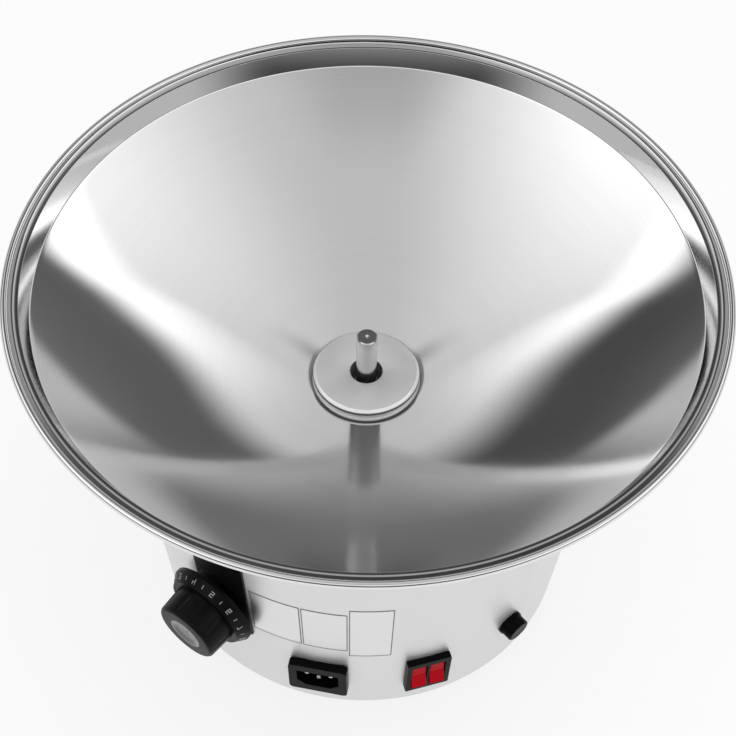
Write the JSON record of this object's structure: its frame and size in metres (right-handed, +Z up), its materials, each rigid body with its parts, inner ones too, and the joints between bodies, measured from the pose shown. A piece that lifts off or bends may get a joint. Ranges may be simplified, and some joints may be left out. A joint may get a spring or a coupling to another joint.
{
  "type": "chocolate fountain",
  "caption": "Chocolate fountain base with a wide stainless bowl on a tapered drum, drive shaft, thermostat knob, mains inlet, double rocker switch and fuse.",
  "frame": {"origin": "on the floor under the drive shaft, bottom centre of the bounding box", "axes": "+Z up along the drive shaft, -Y to the front where the controls are, +X to the right as seen from the front"},
  "size_m": [0.39, 0.39, 0.2482],
  "materials": {
    "bright_steel": "bright polished stainless",
    "satin_steel": "satin stainless",
    "zinc_steel": "zinc plated",
    "core_steel": "bare laminations",
    "die_cast": "as cast",
    "heater_sheath": "heat-tinted sheath",
    "chrome": "bright",
    "bronze": "sintered",
    "brass": "plated",
    "copper": "drawn",
    "black_plastic": "semi-gloss",
    "black_enamel": "black enamel",
    "red_plastic": "clear red",
    "phenolic": "moulded",
    "nylon": "natural",
    "rubber": "matt",
    "glass": "clear"
  },
  "bodies": {
    "base": {"bowl": "bright_steel", "hub_disc": "bright_steel", "hub_gasket": "rubber", "hub_nut": "zinc_steel", "shaft_seal": "rubber", "shaft_bush": "bronze", "housing_shell": "satin_steel", "support_ring": "zinc_steel", "bowl_studs": "zinc_steel", "bowl_nuts": "zinc_steel", "base_plate": "satin_steel", "base_screws": "zinc_steel", "foot_nuts": "zinc_steel", "gearbox_case": "die_cast", "gearbox_cover": "die_cast", "gearbox_screws": "zinc_steel", "output_bushes": "bronze", "layshaft_pin": "zinc_steel", "motor_carrier": "zinc_steel", "carrier_pillars": "zinc_steel", "pillar_screws": "zinc_steel", "motor_can": "zinc_steel", "stator": "core_steel", "motor_bushes": "bronze", "heater": "heater_sheath", "heater_clamps": "zinc_steel", "clamp_fasteners": "zinc_steel", "thermal_cutout": "phenolic", "thermostat_bulb": "copper", "inlet_housing": "black_plastic", "inlet_blades": "brass", "switch_frame": "black_plastic", "switch_tabs": "brass", "fuse_holder": "black_plastic", "fuse_nut": "black_plastic", "thermostat": "phenolic", "dial_plate": "black_enamel", "terminal_block": "phenolic", "wiring": "rubber"},
    "drive": {"drive_shaft": "bright_steel", "shaft_coupling": "zinc_steel", "coupling_screws": "zinc_steel", "output_shaft": "zinc_steel", "output_wheel": "nylon"},
    "layshaft": {"layshaft_wheel": "nylon", "layshaft_pinion": "zinc_steel"},
    "rotor": {"rotor_core": "core_steel", "motor_shaft": "zinc_steel", "motor_pinion": "zinc_steel"},
    "thermostat_knob": {"knob": "black_plastic", "knob_disc": "chrome", "thermostat_spindle": "zinc_steel"},
    "left_rocker": {"rocker_left": "red_plastic"},
    "right_rocker": {"rocker_right": "red_plastic"},
    "fuse_carrier": {"fuse_cap": "black_plastic", "fuse_link": "glass"},
    "foot_1": {"levelling_foot_1": "rubber"},
    "foot_2": {"levelling_foot_2": "rubber"},
    "foot_3": {"levelling_foot_3": "rubber"},
    "foot_4": {"levelling_foot_4": "rubber"}
  },
  "joints": [
    {"name": "drive_spin", "type": "hinge", "parent": "base", "child": "drive", "pos_m": [0, 0, 0.1691], "axis": [0, 0, 1], "continuous": true},
    {"name": "layshaft_spin", "type": "hinge", "parent": "base", "child": "layshaft", "pos_m": [-0.01928, 0.02298, 0.0685], "axis": [0, 0, 1], "continuous": true},
    {"name": "rotor_spin", "type": "hinge", "parent": "base", "child": "rotor", "pos_m": [0.00435, 0.02715, 0.0685], "axis": [0, 0, 1], "continuous": true},
    {"name": "knob_turn", "type": "hinge", "parent": "base", "child": "thermostat_knob", "pos_m": [-0.0797, -0.10201, 0.089], "axis": [0.6123, 0.7837, 0.105], "range_deg": [0, 270]},
    {"name": "left_rocker_tilt", "type": "hinge", "parent": "base", "child": "left_rocker", "pos_m": [0.03368, -0.12112, 0.04492], "axis": [0.9511, 0.309, 0], "range_deg": [0, 20]},
    {"name": "right_rocker_tilt", "type": "hinge", "parent": "base", "child": "right_rocker", "pos_m": [0.04395, -0.11778, 0.04492], "axis": [0.9511, 0.309, 0], "range_deg": [0, 20]},
    {"name": "fuse_pull", "type": "slide", "parent": "base", "child": "fuse_carrier", "axis": [0.682, -0.7237, -0.105], "range_m": [0, 0.03]},
    {"name": "foot_1_height", "type": "slide", "parent": "base", "child": "foot_1", "axis": [0, 0, -1], "range_m": [0, 0.008]},
    {"name": "foot_2_height", "type": "slide", "parent": "base", "child": "foot_2", "axis": [0, 0, -1], "range_m": [0, 0.008]},
    {"name": "foot_3_height", "type": "slide", "parent": "base", "child": "foot_3", "axis": [0, 0, -1], "range_m": [0, 0.008]},
    {"name": "foot_4_height", "type": "slide", "parent": "base", "child": "foot_4", "axis": [0, 0, -1], "range_m": [0, 0.008]}
  ],
  "couplings": [
    {"joint": "layshaft_spin", "follows": "drive_spin", "ratio": -3},
    {"joint": "rotor_spin", "follows": "drive_spin", "ratio": 9}
  ]
}
